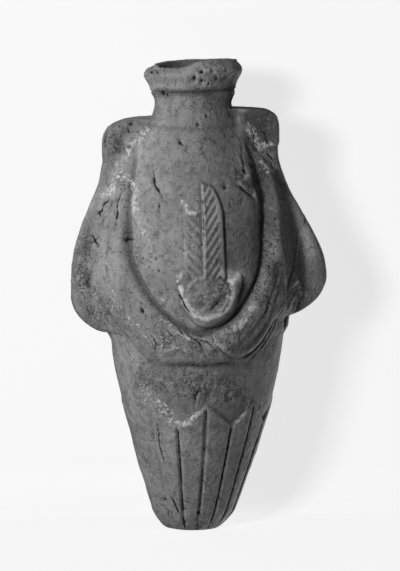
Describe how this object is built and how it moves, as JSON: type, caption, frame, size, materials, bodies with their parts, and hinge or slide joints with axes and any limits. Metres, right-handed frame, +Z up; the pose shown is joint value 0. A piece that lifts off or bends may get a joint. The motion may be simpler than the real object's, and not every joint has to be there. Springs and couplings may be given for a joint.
{
  "type": "alabastron",
  "caption": "Hollow moulded clay flask with a thick lip, side lugs running down into wings, and a garland, feathered crown and calyx of leaves in relief.",
  "frame": {"origin": "middle of the flat underside, which the flask stands on", "axes": "+Z up through the mouth, -Y towards the carved front, +X to the right seen from the front"},
  "size_m": [0.0876, 0.0628, 0.1617],
  "materials": {
    "clay": "matt unglazed clay, pitted and worn, with pale salt crusts"
  },
  "bodies": {
    "root": {"vessel": "clay"}
  },
  "joints": []
}
